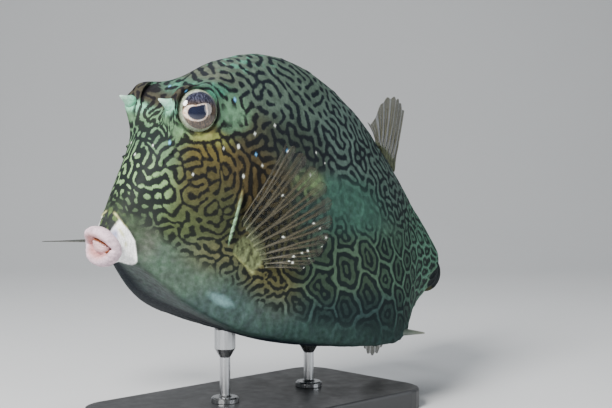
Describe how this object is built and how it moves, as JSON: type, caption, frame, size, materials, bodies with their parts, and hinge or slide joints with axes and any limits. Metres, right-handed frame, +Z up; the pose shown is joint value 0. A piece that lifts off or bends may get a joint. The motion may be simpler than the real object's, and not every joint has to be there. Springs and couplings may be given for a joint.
{
  "type": "honeycomb cowfish model",
  "caption": "Still life-size model of a honeycomb cowfish, boxy with horns, a plated shell and spread fins, held over a flat display base by short rods.",
  "frame": {"origin": "centre of the underside of the stand's base", "axes": "+Z up, -X towards the fish's nose, +Y towards the fish's right side"},
  "size_m": [0.3007, 0.1666, 0.2104],
  "materials": {
    "skin": "satin, dark labyrinth lines on pale green and gold",
    "shell": "satin, honeycomb of dark rings on green",
    "lips": "smooth, pinkish white",
    "eye": "glossy",
    "horn": "satin",
    "fin": "thin and partly clear, brown rays",
    "base": "satin black",
    "rod": "brushed"
  },
  "bodies": {
    "root": {"head": "skin", "lips": "lips", "carapace": "shell", "tail_stalk": "skin", "caudal_fin": "fin", "dorsal_fin": "fin", "anal_fin": "fin", "pectoral_fin_left": "fin", "pectoral_fin_right": "fin", "horn_left": "horn", "horn_right": "horn", "keel_spine_left": "horn", "keel_spine_right": "horn", "eye_left": "eye", "eye_right": "eye", "stand_base": "base", "stand_rod_front": "rod", "stand_rod_rear": "rod"}
  },
  "joints": []
}
